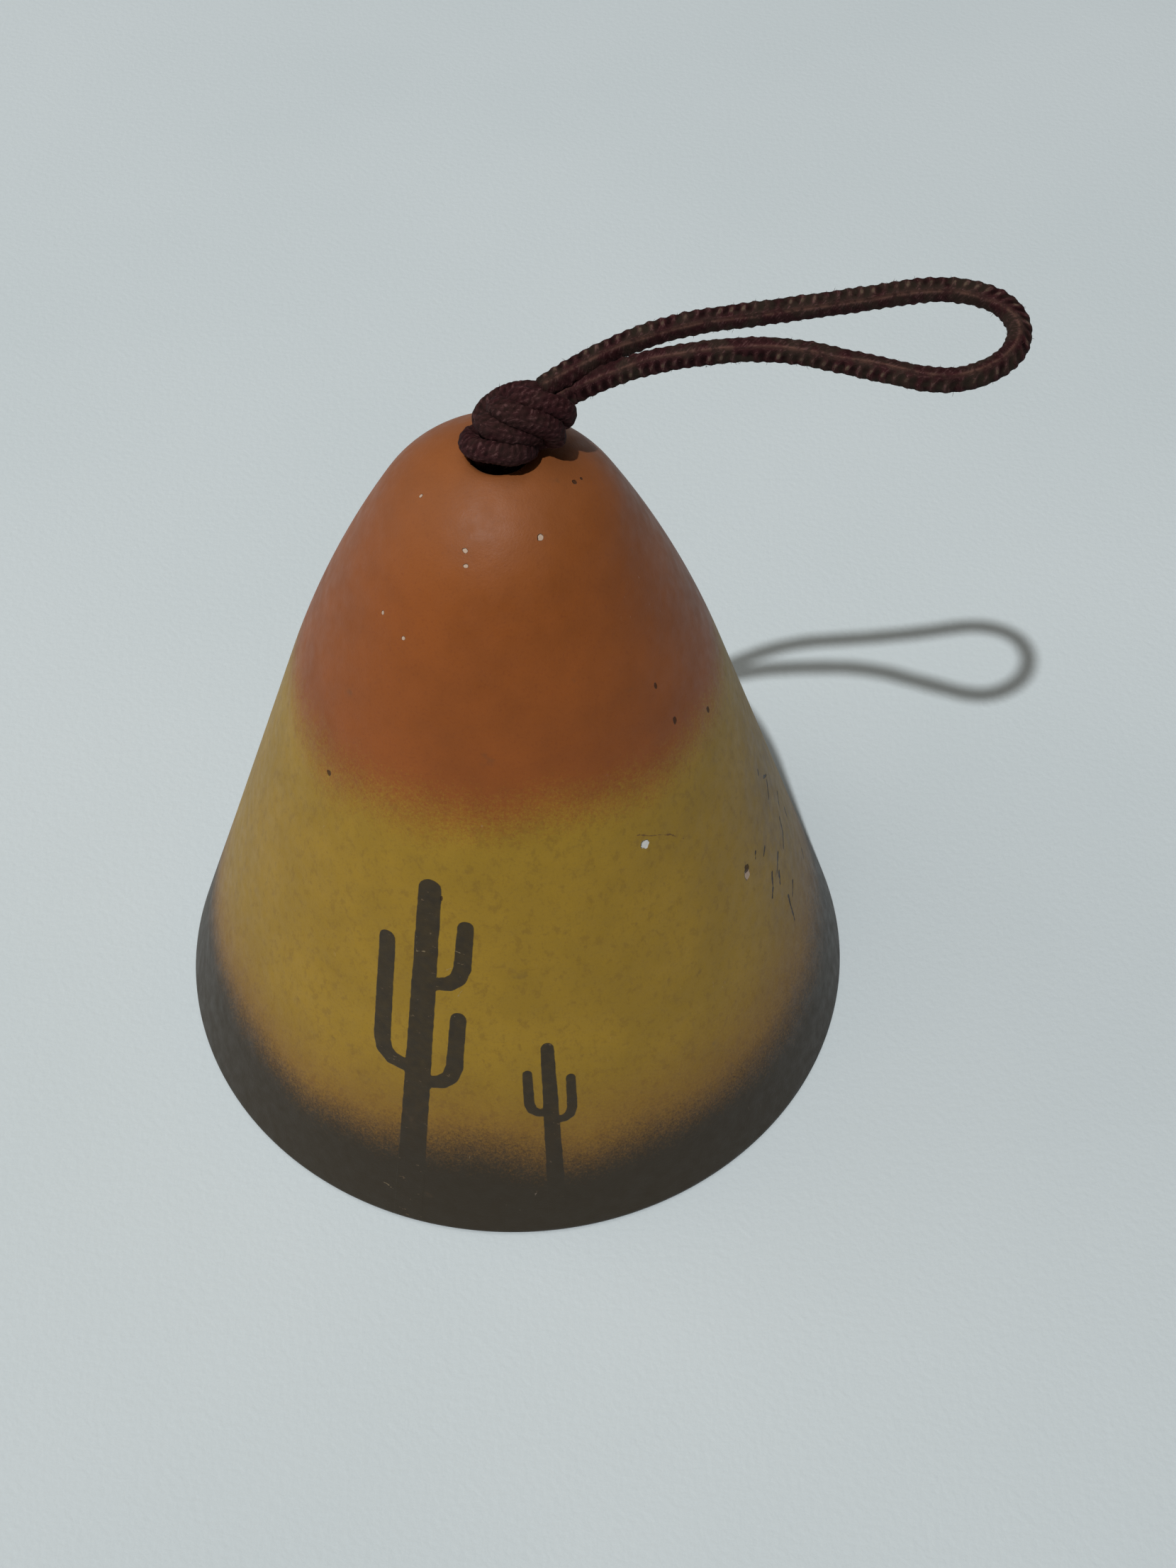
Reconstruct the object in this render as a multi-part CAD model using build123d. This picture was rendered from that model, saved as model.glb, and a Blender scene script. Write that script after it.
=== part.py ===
from build123d import *
import math
import os

# A bell of painted slip-cast ceramic, standing on its mouth. One braided cord, doubled, carries it:
# a long loop lies out from the crown, a knot rests on the crown's hole, both strands go down through
# the hole to a second knot that the hung bell bears on, and from that knot hangs the clapper.
# Millimetres. +Z is up, and the origin is the middle of the mouth, on the surface it stands on.

# --- shell ------------------------------------------------------------------------------------
MOUTH_RADIUS = 55.0      # outside of the mouth, at the foot
HEIGHT = 114.5           # foot to the top of the crown's sphere, before the hole is cut
CONE_ANGLE = 18.07       # degrees between the skirt and the vertical
CONE_HEIGHT = 69.0       # the skirt is a true cone up to here
CROWN_RADIUS = 19.4      # sphere that closes the top
WALL = 4.0               # thickness of the slip-cast wall
FOOT_ROUND = 1.3         # edges of the ring that the bell stands on
HOLE_RADIUS = 3.75       # cord hole through the crown
HOLE_ROUND = 0.8         # edges of that hole

# --- cord -------------------------------------------------------------------------------------
CORD = 3.2               # diameter of the braid
PAIR = 1.65              # each strand of a pair lies this far from the pair's middle
BEND_SHARE = 0.45        # share of the shorter run that each arc of a cord takes up
GAP = 0.3                # room between a knot and what turns on it
FACE_GAP = 0.05          # room between flat faces that turn on each other

# --- knots ------------------------------------------------------------------------------------
KNOT_RADIUS = 4.5        # radius of each round lobe
KNOT_LOBE = 3.2          # from the middle of one lobe to the next
KNOT_FLAT = 3.2          # height of a flat top over its lobe's middle, where the pair enters
THROAT_RADIUS = 3.3      # the pair where it dives from the crown knot into the hole
THROAT_FOOT = 113.4      # height of the throat's flat lower end
CROWN_KNOT_AT = (2.6, 0.6, 119.1)
CROWN_KNOT_LEAN = (1.0, 0.1, 0.2)      # direction of its long axis, towards the loop
LOCK_KNOT_AT = (0.0, 0.0, 100.0)       # its lower lobe, which the clapper swings about

# --- clapper ----------------------------------------------------------------------------------
CLAPPER_RADIUS = 12.5
CLAPPER_HEIGHT = 38.0    # middle of the ball
CLAPPER_BORE = 3.45      # radius of the hole through the ball
BORE_ROUND = 0.6         # edges of that hole
END_KNOT_AT = (0.0, 0.0, 20.1)         # its lower lobe, under the ball

# The loop's route, from the back strand's root round the far end to the front strand's root.
LOOP_ROUTE = [
    (7.4, 5.9, 122.3), (13.0, 10.2, 123.9), (22.8, 12.2, 125.7), (34.6, 11.6, 127.6),
    (46.4, 12.6, 128.9), (57.2, 14.7, 129.4), (64.3, 11.8, 129.6), (66.3, 5.9, 129.6),
    (63.6, -0.1, 129.5), (56.3, -4.0, 129.4), (46.6, -0.5, 129.1), (35.2, 4.0, 128.5),
    (23.4, 5.0, 126.2), (15.0, 5.7, 122.8), (10.2, 5.3, 120.0),
]
# A loose end below the end knot, from its root, leaning out. The other end is its mirror image.
TAIL_ROUTE = [(PAIR, 0.3, 16.8), (2.1, 0.7, 13.1), (3.9, 1.0, 8.6)]


def polar(centre, radius, angle):
    """A point of the wall's section, as (distance from the axis, height)."""
    return (centre[0] + radius * math.cos(angle), centre[1] + radius * math.sin(angle))


# The wall's line is a cone, a hollow shoulder arc tangent to it, and the crown's circle, tangent to
# that arc. The shoulder's radius follows from the two tangencies.
cone_slope = math.radians(CONE_ANGLE)
cone_top = (MOUTH_RADIUS - CONE_HEIGHT * math.tan(cone_slope), CONE_HEIGHT)
crown_centre = (0.0, HEIGHT - CROWN_RADIUS)
offset = (cone_top[0] - crown_centre[0], cone_top[1] - crown_centre[1])
along_normal = offset[0] * math.cos(cone_slope) + offset[1] * math.sin(cone_slope)
excess = offset[0] ** 2 + offset[1] ** 2 - CROWN_RADIUS ** 2
shoulder_radius = excess / (2 * (along_normal - CROWN_RADIUS))
shoulder_centre = polar(cone_top, -shoulder_radius, cone_slope)
join_angle = math.atan2(crown_centre[1] - shoulder_centre[1], crown_centre[0] - shoulder_centre[0])


def wall_line(inset):
    """The wall's line moved inwards by inset: its edges, its foot and its lip at the hole."""
    shoulder = shoulder_radius - inset
    crown = CROWN_RADIUS - inset
    lip_angle = math.acos(HOLE_RADIUS / crown)
    foot = (MOUTH_RADIUS - inset / math.cos(cone_slope), 0.0)
    skirt_top = polar(shoulder_centre, shoulder, cone_slope)
    shoulder_middle = polar(shoulder_centre, shoulder, (cone_slope + join_angle) / 2)
    join = polar(crown_centre, crown, join_angle)
    crown_middle = polar(crown_centre, crown, (join_angle + lip_angle) / 2)
    lip = polar(crown_centre, crown, lip_angle)
    edges = [
        Line(foot, skirt_top),
        ThreePointArc(skirt_top, shoulder_middle, join),
        ThreePointArc(join, crown_middle, lip),
    ]
    return edges, foot, lip


def bell_shell():
    outside, outer_foot, outer_lip = wall_line(0.0)
    inside, inner_foot, inner_lip = wall_line(WALL)
    ends = [Line(outer_foot, inner_foot), Line(outer_lip, inner_lip)]
    section = make_face(outside + inside + ends)
    foot_corners = [v for v in section.vertices() if abs(v.Y) < 0.01]
    section = fillet(foot_corners, FOOT_ROUND)
    hole_corners = [v for v in section.vertices() if abs(v.X - HOLE_RADIUS) < 0.01]
    section = fillet(hole_corners, HOLE_ROUND)
    return revolve(Plane.XZ * section, Axis.Z)


def knot(place, lobes, flat_top=False):
    """Round lobes in a row along place's Z, the first centred on its origin."""
    body = Sphere(KNOT_RADIUS)
    for i in range(1, lobes):
        body += Pos(0, 0, i * KNOT_LOBE) * Sphere(KNOT_RADIUS)
    if flat_top:
        flat = (lobes - 1) * KNOT_LOBE + KNOT_FLAT
        side = 4 * KNOT_RADIUS
        body -= Pos(0, 0, flat + side / 2) * Box(side, side, side)
    return place * body


def crown_knot():
    lean = Vector(*CROWN_KNOT_LEAN).normalized()
    first_lobe = Vector(*CROWN_KNOT_AT) - lean * KNOT_LOBE
    length = CROWN_KNOT_AT[2] - THROAT_FOOT
    foot_up = (Align.CENTER, Align.CENTER, Align.MIN)
    throat = Pos(0, 0, THROAT_FOOT) * Cylinder(THROAT_RADIUS, length, align=foot_up)
    return knot(Plane(origin=first_lobe, z_dir=lean), lobes=3) + throat


def clapper():
    ball = Sphere(CLAPPER_RADIUS) - Cylinder(CLAPPER_BORE, 3 * CLAPPER_RADIUS)
    mouths = ball.edges().filter_by(GeomType.CIRCLE)
    return Pos(0, 0, CLAPPER_HEIGHT) * fillet(mouths, BORE_ROUND)


def straight_strand(side, foot, top, across):
    """One upright strand of a pair, side is -1 or +1, set apart along the direction across."""
    middle = Vector(*across) * side * PAIR + Vector(0, 0, (foot + top) / 2)
    return Pos(middle) * Cylinder(CORD / 2, top - foot)


def cord_tube(name, route):
    """Straight runs joined by tangent arcs, each as large as its two runs allow."""
    points = [Vector(*p) for p in route]
    runs = [b - a for a, b in zip(points, points[1:])]
    radii = []
    for before, after in zip(runs, runs[1:]):
        half_turn = math.radians(before.get_angle(after)) / 2
        radii.append(BEND_SHARE * min(before.length, after.length) / math.tan(half_turn))
    path = FilletPolyline(*points, radius=radii)
    tube = sweep(Plane(origin=path @ 0, z_dir=path % 0) * Circle(CORD / 2), path=path)
    drawn = math.pi * (CORD / 2) ** 2 * path.length
    print(f"{name}: length {path.length:.1f}, volume {tube.volume / drawn:.3f} of section x length")
    print("  radii", " ".join(f"{r:.1f}" for r in radii))
    return tube


lock_knot_top = LOCK_KNOT_AT[2] + KNOT_LOBE + KNOT_FLAT
end_knot_top = END_KNOT_AT[2] + KNOT_LOBE + KNOT_FLAT
clapper_cord_top = LOCK_KNOT_AT[2] - KNOT_RADIUS - GAP
mirrored_tail = [(-x, -y, z) for x, y, z in TAIL_ROUTE]

parts = {
    "bell_shell": bell_shell(),
    "hanging_loop": cord_tube("hanging_loop", LOOP_ROUTE),
    "crown_knot": crown_knot(),
    "lock_knot": knot(Pos(*LOCK_KNOT_AT), lobes=2, flat_top=True),
    "clapper": clapper(),
    "clapper_end_knot": knot(Pos(*END_KNOT_AT), lobes=2, flat_top=True),
    "cord_tail_left": cord_tube("cord_tail_left", mirrored_tail),
    "cord_tail_right": cord_tube("cord_tail_right", TAIL_ROUTE),
}
for label, side in (("left", -1), ("right", 1)):
    neck_foot = lock_knot_top + FACE_GAP
    neck_top = THROAT_FOOT - FACE_GAP
    parts[f"neck_strand_{label}"] = straight_strand(side, neck_foot, neck_top, across=(1, 0, 0))
    parts[f"clapper_cord_{label}"] = straight_strand(side, end_knot_top, clapper_cord_top, across=(0, 1, 0))

os.makedirs("parts", exist_ok=True)
for name, solid in parts.items():
    export_step(solid, f"parts/{name}.step")
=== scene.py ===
import math

import bpy
import numpy as np
from mathutils import Euler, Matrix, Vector


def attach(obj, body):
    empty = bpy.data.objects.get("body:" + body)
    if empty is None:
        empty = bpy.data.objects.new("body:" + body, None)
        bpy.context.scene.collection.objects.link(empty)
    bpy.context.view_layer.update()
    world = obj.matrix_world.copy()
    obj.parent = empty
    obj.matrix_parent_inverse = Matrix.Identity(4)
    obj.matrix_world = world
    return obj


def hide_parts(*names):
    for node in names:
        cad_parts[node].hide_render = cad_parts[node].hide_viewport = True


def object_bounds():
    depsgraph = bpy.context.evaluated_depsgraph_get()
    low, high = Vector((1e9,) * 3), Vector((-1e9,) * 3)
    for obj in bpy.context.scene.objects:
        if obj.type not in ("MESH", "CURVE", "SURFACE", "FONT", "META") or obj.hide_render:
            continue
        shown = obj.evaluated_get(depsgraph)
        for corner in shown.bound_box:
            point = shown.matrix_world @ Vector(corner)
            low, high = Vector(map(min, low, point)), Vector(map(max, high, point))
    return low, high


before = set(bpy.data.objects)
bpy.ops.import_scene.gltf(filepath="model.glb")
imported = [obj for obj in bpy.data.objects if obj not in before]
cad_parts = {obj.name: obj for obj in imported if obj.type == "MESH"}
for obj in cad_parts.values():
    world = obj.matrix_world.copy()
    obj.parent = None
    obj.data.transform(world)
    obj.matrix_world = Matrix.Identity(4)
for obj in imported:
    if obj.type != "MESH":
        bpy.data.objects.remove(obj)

CAD_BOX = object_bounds()
MM = 0.001
BRAID = 3.2                          # the braid's diameter, in millimetres
CONE = math.radians(18.07)           # slope of the skirt
CAD_MOUTH = 55.0                     # the skirt's radius at the floor, in millimetres


def add_object(name, data):
    thing = bpy.data.objects.new(name, data)
    bpy.context.scene.collection.objects.link(thing)
    return thing


# --- camera ---------------------------------------------------------------------------------
LENS = 49.93
SENSOR = 36.0
LOOKS_DOWN = 52.21                   # degrees below level
ROLL = 0.29                          # degrees
CAMERA_AT = (0.01178, -0.20673, 0.31046)


def make_camera():
    data = bpy.data.cameras.new("camera")
    data.lens = LENS
    data.sensor_width = SENSOR
    camera = add_object("camera", data)
    look = Euler((math.radians(90 - LOOKS_DOWN), 0, 0)).to_matrix()
    roll = Euler((0, 0, math.radians(ROLL))).to_matrix()
    camera.rotation_euler = (look @ roll).to_euler()
    camera.location = CAMERA_AT
    bpy.context.scene.camera = camera


make_camera()

# --- braided cord ---------------------------------------------------------------------------
PEG_PITCH = 1.5                      # length of one stitch of the plait, in millimetres
RING_STEP = 0.17                     # spacing of a strand's rings
AROUND = 36                          # points round a ring
PAIR = 1.65                          # half the spacing of two strands side by side
STRAND_RADIUS = 1.455                # a strand without its relief
SQUARENESS = 2.6                     # power of the rounded square that its section follows
FADE = 0.9                           # how far from an end the relief fades
BLUNT = 0.7                          # how far from an end a strand rounds off
# Rows of stitches along the strand: (degrees round it, height, slant).
PEG_ROWS = ((-45, 0.24, 0.3), (45, 0.05, -0.35), (135, 0.2, 0.35), (-135, 0.2, -0.35))
UNHIGHLIT_ROW = 45                        # the row whose stitches get no painted highlight on their tops
# Scalloped edges between them: (degrees round it, shift along it in stitches).
SCALLOPS = ((90, 0.0), (180, 0.4), (-90, 0.55))
SCALLOP_HEIGHT = 0.17
EDGE_HEIGHT = 0.08                   # of the smooth edge at 0 degrees
RIB_HEIGHT = 0.09                    # of the rope-like ribs where the plait is pulled flat
YARN_UNEVEN = 0.014
HAIR_ROOT = 1.35                     # where a stray fibre starts, from the strand's middle
HAIR_THICK, HAIR_THIN = 0.028, 0.022
SETTLE_STEP = 0.5                    # spacing of the points that settle moves
SETTLE_ROUNDS = 30
SETTLE_MOST = 0.9                    # the furthest that it moves a point
PRESSED = 0.8                        # spacing of two touching strands of a knot, in cord diameters
REST_OFF = 1.75                      # how far a knot's line stays off the crown
ANY_WAY = (0.31, 0.77, 0.56)         # along no strand, to start an edge that faces nothing
TUCK = (5.7, 2.4, 119.4)             # towards this, the loop's last end runs on into the knot
TUCK_FIRST, TUCK_BEND, TUCK_LAST = 3.0, 0.9, 2.9
# The loop's smooth edge faces this way on its front strand and on its back strand.
RIDGE_FRONT = (-0.2, -0.45, 0.88)
RIDGE_BACK = (-0.2, -0.85, 0.55)

LOOP_ROUTE = [
    (7.8, 5.3, 121.9), (13.0, 8.4, 123.4), (22.8, 11.5, 125.6), (34.6, 11.6, 127.6),
    (46.4, 12.6, 128.9), (57.2, 14.7, 129.4), (64.3, 11.8, 129.6), (66.3, 5.9, 129.6),
    (63.6, -0.1, 129.5), (56.3, -4.0, 129.4), (46.6, -0.5, 129.1), (35.2, 4.0, 128.5),
    (23.4, 5.0, 126.2), (15.0, 5.7, 122.8), (10.2, 5.3, 120.0),
]
TAIL_ROUTE = [(PAIR, 0.3, 16.8), (2.1, 0.7, 13.1), (3.9, 1.0, 8.6)]

# The crown knot's strands: two turns low down on the left, two turns across the front, one strand
# over the back, the pair that comes up through the hole, and a short core low down on the right.
LOW_TURNS = [
    (3.5, 0.7, 115.1), (0.4, 1.7, 115.8), (-2.1, 1.1, 116.2), (-4.0, -1.0, 116.6),
    (-3.4, -3.4, 117.1), (-0.9, -4.3, 118.0), (1.8, -4.0, 118.4), (3.5, -2.3, 117.4),
    (3.4, 0.2, 115.7), (2.2, 2.7, 115.8), (-0.2, 2.6, 116.8), (-1.4, 0.5, 118.7),
    (-1.1, -1.3, 119.5), (0.4, -2.1, 119.4), (2.8, -2.2, 118.5), (4.2, -0.2, 117.2),
]
FRONT_TURNS = [
    (3.4, 1.7, 116.1), (1.0, 3.2, 116.8), (-0.3, 2.6, 118.8), (-0.5, 0.9, 120.8),
    (0.9, -0.9, 121.9), (3.4, -2.1, 121.7), (5.6, -2.1, 120.7), (7.5, -0.6, 118.4),
    (7.2, 1.8, 116.3), (5.0, 3.5, 116.0), (2.6, 4.0, 118.0), (1.4, 3.0, 119.9),
    (2.6, 1.5, 121.9), (4.8, 0.5, 122.3), (7.4, 0.1, 122.0), (9.3, 1.2, 120.0),
    (9.0, 2.1, 117.5), (6.8, 1.6, 117.1),
]
BACK_STRAND = [
    (-0.4, 1.0, 115.6), (-1.7, 1.5, 117.4), (-0.8, 2.3, 118.7), (0.9, 3.1, 119.6),
    (3.2, 3.4, 120.2), (5.6, 3.7, 120.5), (7.8, 3.7, 119.7), (7.0, 3.0, 117.7),
]
THROAT_LEFT = [(-PAIR, 0.0, 113.4), (-1.4, 0.1, 116.2), (0.6, 0.5, 118.3), (3.1, 0.6, 119.1)]
THROAT_RIGHT = [(PAIR, 0.0, 113.4), (1.7, 0.3, 115.9), (2.8, 1.0, 117.6), (4.6, 1.2, 118.3)]
KNOT_CORE = [(2.0, 0.5, 116.2), (3.8, 0.4, 116.0), (5.4, 0.7, 115.8), (6.6, 1.5, 115.9)]
CROWN_CENTRE = (0.0, 0.0, 95.1)      # of the sphere that the shell's crown is part of
CROWN_RADIUS = 19.4


def spline_points(route):
    """Points, in millimetres, read from the smooth NURBS line that a route controls."""
    data = bpy.data.curves.new("line", "CURVE")
    data.dimensions = "3D"
    data.resolution_u = 24
    spline = data.splines.new("NURBS")
    spline.points.add(len(route) - 1)
    for point, place in zip(spline.points, route):
        point.co = (*(c * MM for c in place), 1.0)
    spline.order_u = 3
    spline.use_endpoint_u = True
    line = bpy.data.objects.new("line", data)
    mesh = bpy.data.meshes.new_from_object(line)
    points = np.array([tuple(v.co) for v in mesh.vertices]) / MM
    bpy.data.objects.remove(line)
    bpy.data.curves.remove(data)
    bpy.data.meshes.remove(mesh)
    return points


def respace(points, step):
    run = np.concatenate([[0.0], np.cumsum(np.linalg.norm(np.diff(points, axis=0), axis=1))])
    even = np.linspace(0, run[-1], int(round(run[-1] / step)) + 1)
    return np.stack([np.interp(even, run, points[:, i]) for i in range(3)], axis=1)


def unit(vectors):
    return vectors / np.linalg.norm(vectors, axis=-1, keepdims=True)


def tuck_in(points):
    """The loop's line with both ends run on into the knot, the last one near the loop's hinge."""
    first = points[0] + unit(points[0] - points[1]) * TUCK_FIRST
    bend = points[-1] + unit(points[-1] - points[-2]) * TUCK_BEND
    last = bend + unit(np.array(TUCK) - bend) * TUCK_LAST
    return np.vstack([first, points, bend, last])


def settle(lines):
    """Push a knot's touching strands apart a little, and off the crown, leaving them pressed."""
    lines = [respace(line, SETTLE_STEP) for line in lines]
    owner = np.concatenate([np.full(len(line), i) for i, line in enumerate(lines)])
    order = np.concatenate([np.arange(len(line)) for line in lines])
    along = np.abs(order[:, None] - order[None]) * SETTLE_STEP
    same_stretch = (owner[:, None] == owner[None]) & (along <= 1.4 * BRAID)
    start = np.vstack(lines)
    spot = start.copy()
    ends = np.cumsum([len(line) for line in lines])[:-1]
    for _ in range(SETTLE_ROUNDS):
        apart = spot[:, None] - spot[None]
        distance = np.linalg.norm(apart, axis=2) + 1e-9
        close = (distance < PRESSED * BRAID) & ~same_stretch
        share = np.where(close, (PRESSED * BRAID - distance) / distance * 0.5, 0.0)
        push = (share[..., None] * apart).sum(axis=1)
        spot = spot + push / np.maximum(close.sum(axis=1), 1)[:, None]
        for line in np.split(spot, ends):
            line[1:-1] += 0.25 * (line[:-2] + line[2:] - 2 * line[1:-1])
        out = spot - CROWN_CENTRE
        height = np.linalg.norm(out, axis=1)
        beside_hole = np.hypot(spot[:, 0], spot[:, 1]) > 2.6
        low = (height < CROWN_RADIUS + REST_OFF) & beside_hole
        spot[low] = CROWN_CENTRE + out[low] / height[low, None] * (CROWN_RADIUS + REST_OFF)
        moved = spot - start
        reach = np.linalg.norm(moved, axis=1, keepdims=True)
        spot = start + moved * np.minimum(1.0, SETTLE_MOST / np.maximum(reach, 1e-9))
    return np.split(spot, ends)


def bell_curve(angle, centre, width):
    away = (angle - centre + 180.0) % 360.0 - 180.0
    return np.exp(-(away / width) ** 2)


def strand(points, seed, towards=None, plait=1.0):
    """One braided strand along points: vertices, faces, values for its colours, and its own map.

    towards is the way that its smooth edge faces, and plait how plainly the plait shows, 0 to 1."""
    points = respace(points, RING_STEP)
    tangent = unit(np.gradient(points, axis=0))
    if towards is None:
        ridge = np.empty_like(points)
        ridge[0] = unit(np.cross(tangent[0], ANY_WAY))
        for i in range(1, len(points)):
            carried = ridge[i - 1] - tangent[i] * np.dot(ridge[i - 1], tangent[i])
            ridge[i] = unit(carried)
    else:
        facing = towards(points) if callable(towards) else np.tile(towards, (len(points), 1))
        ridge = unit(facing - tangent * (facing * tangent).sum(axis=1, keepdims=True))
    side = np.cross(tangent, ridge)

    luck = np.random.default_rng(seed)
    run = np.arange(len(points))[:, None] * RING_STEP
    degrees = np.linspace(0, 360, AROUND, endpoint=False)[None]
    marks = np.arange(0, run[-1, 0] + 8, 4.0)
    drift = np.interp(run[:, 0], marks, luck.normal(0, 3.0, len(marks)))
    turned = np.radians(degrees - 45.0)
    square = np.abs(np.cos(turned)) ** SQUARENESS + np.abs(np.sin(turned)) ** SQUARENESS
    square = square ** (-1 / SQUARENESS)
    relief = np.zeros((len(points), AROUND))
    pegs = np.zeros_like(relief)
    count = int(run[-1, 0] / PEG_PITCH) + 4

    def luck_of(phase, low, high):
        stitch = np.clip(np.floor(phase).astype(int) + 1, 0, count - 1)
        return luck.uniform(low, high, count)[stitch]

    for centre, height, slant in PEG_ROWS:
        across = (degrees - centre + 180.0) % 360.0 - 180.0
        phase = run / PEG_PITCH + slant * across / 45.0 + luck.uniform()
        size = luck_of(phase, 0.55, 1.25)
        pulse = (0.5 - 0.5 * np.cos(2 * np.pi * phase)) ** 1.6
        shape = np.exp(-(across / 23.0) ** 2)
        relief += plait * height * shape * (pulse * size - 0.45)
        if centre != UNHIGHLIT_ROW:
            pegs += plait * shape * pulse * size
    for corner, shift in SCALLOPS:
        phase = run / PEG_PITCH + shift
        scallop = (0.5 - 0.5 * np.cos(2 * np.pi * phase)) * luck_of(phase, 0.5, 1.3)
        relief += plait * SCALLOP_HEIGHT * bell_curve(degrees, corner, 20.0) * (scallop - 0.5)
    edge = plait * bell_curve(degrees, 0, 12.0) * np.ones_like(run)
    relief += EDGE_HEIGHT * edge
    fine_ribs = np.sin(2 * np.pi * (run / 0.95 + degrees / 75.0))
    wide_ribs = np.sin(2 * np.pi * (run / 2.3 - degrees / 120.0) + seed)
    relief += (1 - plait) * RIB_HEIGHT * (fine_ribs * wide_ribs)
    relief += luck.normal(0, YARN_UNEVEN, relief.shape)

    end = np.minimum(run, run[-1, 0] - run)
    fade = np.clip(end / FADE, 0, 1)
    radius = STRAND_RADIUS * square * (1 + 0.012 * np.sin(run * 0.9 + seed)) + relief * fade
    radius = radius * np.sqrt(np.clip(1 - (1 - np.clip(end / BLUNT, 0, 1)) ** 2, 0.02, 1))
    angle = np.radians(degrees + drift[:, None])
    out = np.cos(angle)[..., None] * ridge[:, None] + np.sin(angle)[..., None] * side[:, None]
    rings = points[:, None] + radius[..., None] * out
    verts = np.vstack([rings.reshape(-1, 3), points[0], points[-1]])
    n = len(points)
    i, j = np.meshgrid(np.arange(n - 1), np.arange(AROUND), indexing="ij")
    k = (j + 1) % AROUND
    ring, above = i * AROUND, (i + 1) * AROUND
    quads = np.stack([ring + j, ring + k, above + k, above + j], axis=-1).reshape(-1, 4)
    around = np.arange(AROUND)
    after = (around + 1) % AROUND
    first = np.stack([after, around, np.full(AROUND, n * AROUND)], axis=-1)
    top = (n - 1) * AROUND
    last = np.stack([top + around, top + after, np.full(AROUND, n * AROUND + 1)], axis=-1)
    faces = quads.tolist() + first.tolist() + last.tolist()
    extra = np.zeros(2)
    strip = [run + 0 * radius, radius * np.radians(degrees), np.full_like(radius, seed * 7.3)]
    strip = np.stack(strip, axis=-1).reshape(-1, 3)
    strip = np.vstack([strip, strip[0], strip[-1]])
    values = {
        "relief": np.concatenate([(relief / SCALLOP_HEIGHT).ravel(), extra]),
        "ridge": np.concatenate([(edge * fade).ravel(), extra]),
        "peg": np.concatenate([(pegs * fade).ravel(), extra]),
    }
    return verts, faces, values, strip


def lint_hairs(points, count, seed):
    """Short stray fibres standing out from a strand, each a thin closed spike with one bend."""
    points = respace(points, 0.5)
    tangent = unit(np.gradient(points, axis=0))
    luck = np.random.default_rng(seed)
    verts, faces = [], []
    for _ in range(count):
        i = int(luck.integers(4, len(points) - 4))
        out = unit(np.cross(tangent[i], luck.normal(size=3)))
        lean = unit(out + tangent[i] * luck.normal(0, 0.9))
        bend = unit(lean + luck.normal(0, 0.6, 3))
        length = luck.uniform(0.25, 0.75)
        root = points[i] + out * HAIR_ROOT
        middle = root + lean * (0.15 + 0.5 * length)
        tip = middle + bend * 0.5 * length
        across = unit(np.cross(lean, (0.3, 0.5, 0.8)))
        up = np.cross(lean, across)
        start = len(verts)
        for place, thick in ((root, HAIR_THICK), (middle, HAIR_THIN)):
            for turn in (0.0, 2.1, 4.2):
                way = math.cos(turn) * across + math.sin(turn) * up
                verts.append(place + thick * way)
        verts.append(tip)
        faces.append([start + 2, start + 1, start])
        for a in range(3):
            b = (a + 1) % 3
            faces.append([start + a, start + b, start + 3 + b, start + 3 + a])
            faces.append([start + 3 + a, start + 3 + b, start + 6])
    return np.array(verts), faces


def braid(name, body, node, lines, seed, towards=None, plait=1.0, hairs=0):
    """A piece made of braided strands along lines, in millimetres, standing for a CAD node."""
    verts, faces, offset = [], [], 0
    values, where = {"relief": [], "ridge": [], "peg": []}, []
    for i, points in enumerate(lines):
        v, f, named, uv = strand(points, seed + i, towards, plait=plait)
        verts.append(v)
        faces.extend([[q + offset for q in face] for face in f])
        for key in values:
            values[key].append(named[key])
        where.append(uv)
        offset += len(v)
        if hairs:
            v, f = lint_hairs(points, hairs, seed + 100 + i)
            verts.append(v)
            faces.extend([[q + offset for q in face] for face in f])
            for key, number in (("relief", 0.8), ("ridge", 0.0), ("peg", 0.6)):
                values[key].append(np.full(len(v), number))
            where.append(v)
            offset += len(v)
    mesh = bpy.data.meshes.new(name)
    mesh.from_pydata((np.vstack(verts) * MM).tolist(), [], faces)
    for key, parts in values.items():
        flat = np.concatenate(parts).astype(np.float32)
        mesh.attributes.new(key, "FLOAT", "POINT").data.foreach_set("value", flat)
    flat = np.vstack(where).astype(np.float32).ravel()
    mesh.attributes.new("braid", "FLOAT_VECTOR", "POINT").data.foreach_set("vector", flat)
    mesh.polygons.foreach_set("use_smooth", [True] * len(mesh.polygons))
    piece = add_object(name, mesh)
    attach(piece, body)
    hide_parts(node)
    return piece


def straight(side, foot, top, across):
    x, y = across[0] * side * PAIR, across[1] * side * PAIR
    return [(x, y, foot), (x, y, (foot + top) / 2), (x, y, top)]


def stopper_knot(height):
    """The two turns of a tight stopper knot round the line at the bell's middle, and its core."""
    turns = []
    for i in range(23):
        angle = math.radians(45 * i + 20)
        reach = 3.12 if 0 < i < 22 else 1.2
        turns.append((reach * math.cos(angle), reach * math.sin(angle),
                      height - 2.3 + 0.29 * i + 0.75 * math.cos(angle)))
    core = [[(x, 0, height - 2.6), (x, 0, height + 2), (x, 0, height + 6.3)] for x in (-PAIR, PAIR)]
    return [turns] + core


def loop_facing(points):
    share = np.clip((points[:, 1:2] - 2.0) / 8.0, 0, 1)
    return np.array(RIDGE_FRONT) * (1 - share) + np.array(RIDGE_BACK) * share


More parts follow.
